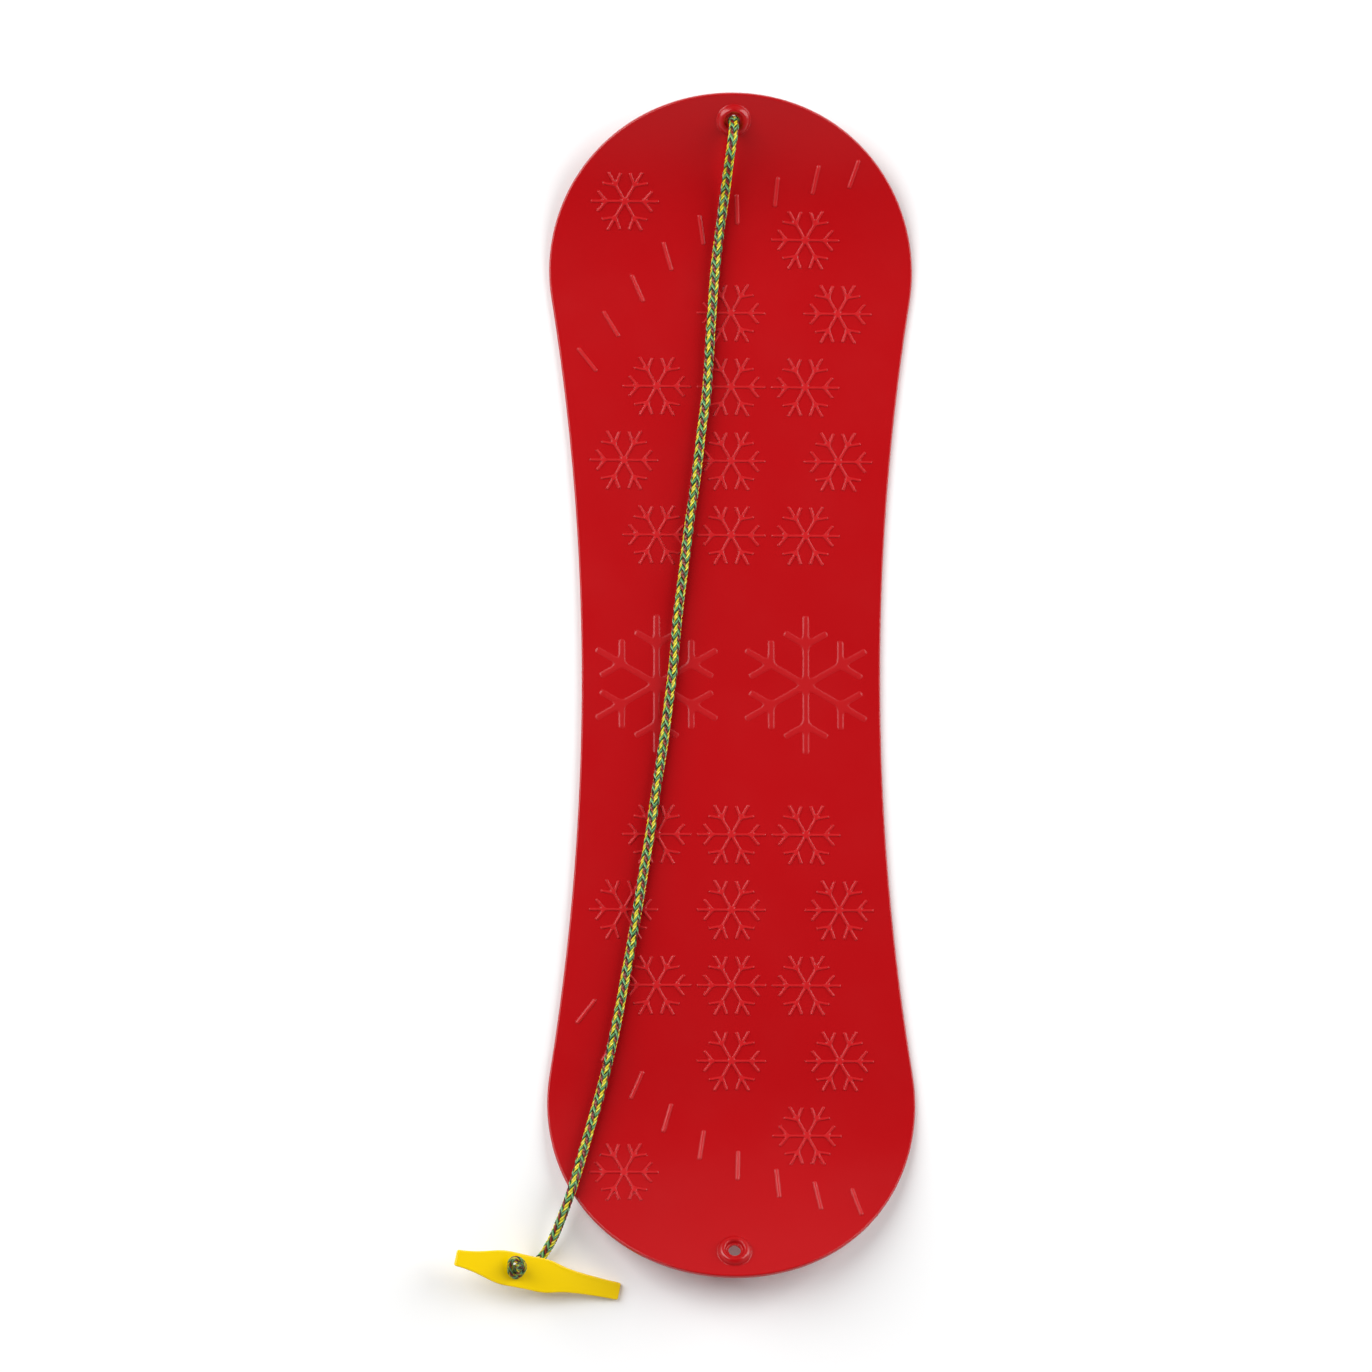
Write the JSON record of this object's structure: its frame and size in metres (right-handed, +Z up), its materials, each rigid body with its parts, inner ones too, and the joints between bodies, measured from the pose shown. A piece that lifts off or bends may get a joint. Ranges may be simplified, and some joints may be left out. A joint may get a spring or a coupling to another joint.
{
  "type": "kids snowboard",
  "caption": "Children's plastic snowboard without bindings: kicked-up ends, moulded snowflake grip relief, and a tow rope with a flat handle.",
  "frame": {"origin": "middle of the flat base, on the surface the board lies on", "axes": "+Z up from the base, +Y towards the nose, which carries the tow rope, +X to the right seen from above with the nose ahead"},
  "size_m": [0.3485, 0.9143, 0.0515],
  "materials": {
    "board_plastic": "glossy",
    "rope_braid": "woven",
    "handle_plastic": "satin"
  },
  "bodies": {
    "board": {"board": "board_plastic", "rope_lead": "rope_braid", "nose_knot": "rope_braid"},
    "tow_line": {"tow_rope": "rope_braid", "handle_knot": "rope_braid"},
    "handle": {"tow_handle": "handle_plastic"}
  },
  "joints": [
    {"name": "tow_line_lift", "type": "hinge", "parent": "board", "child": "tow_line", "pos_m": [-0.00191, 0.41105, 0.05165], "axis": [-0.9905, 0.1377, 0], "range_deg": [0, 150]},
    {"name": "handle_swivel", "type": "hinge", "parent": "tow_line", "child": "handle", "pos_m": [-0.164, -0.443, 0.025], "axis": [0.254, -0.0498, 0.9659], "range_deg": [-100, 20]}
  ]
}
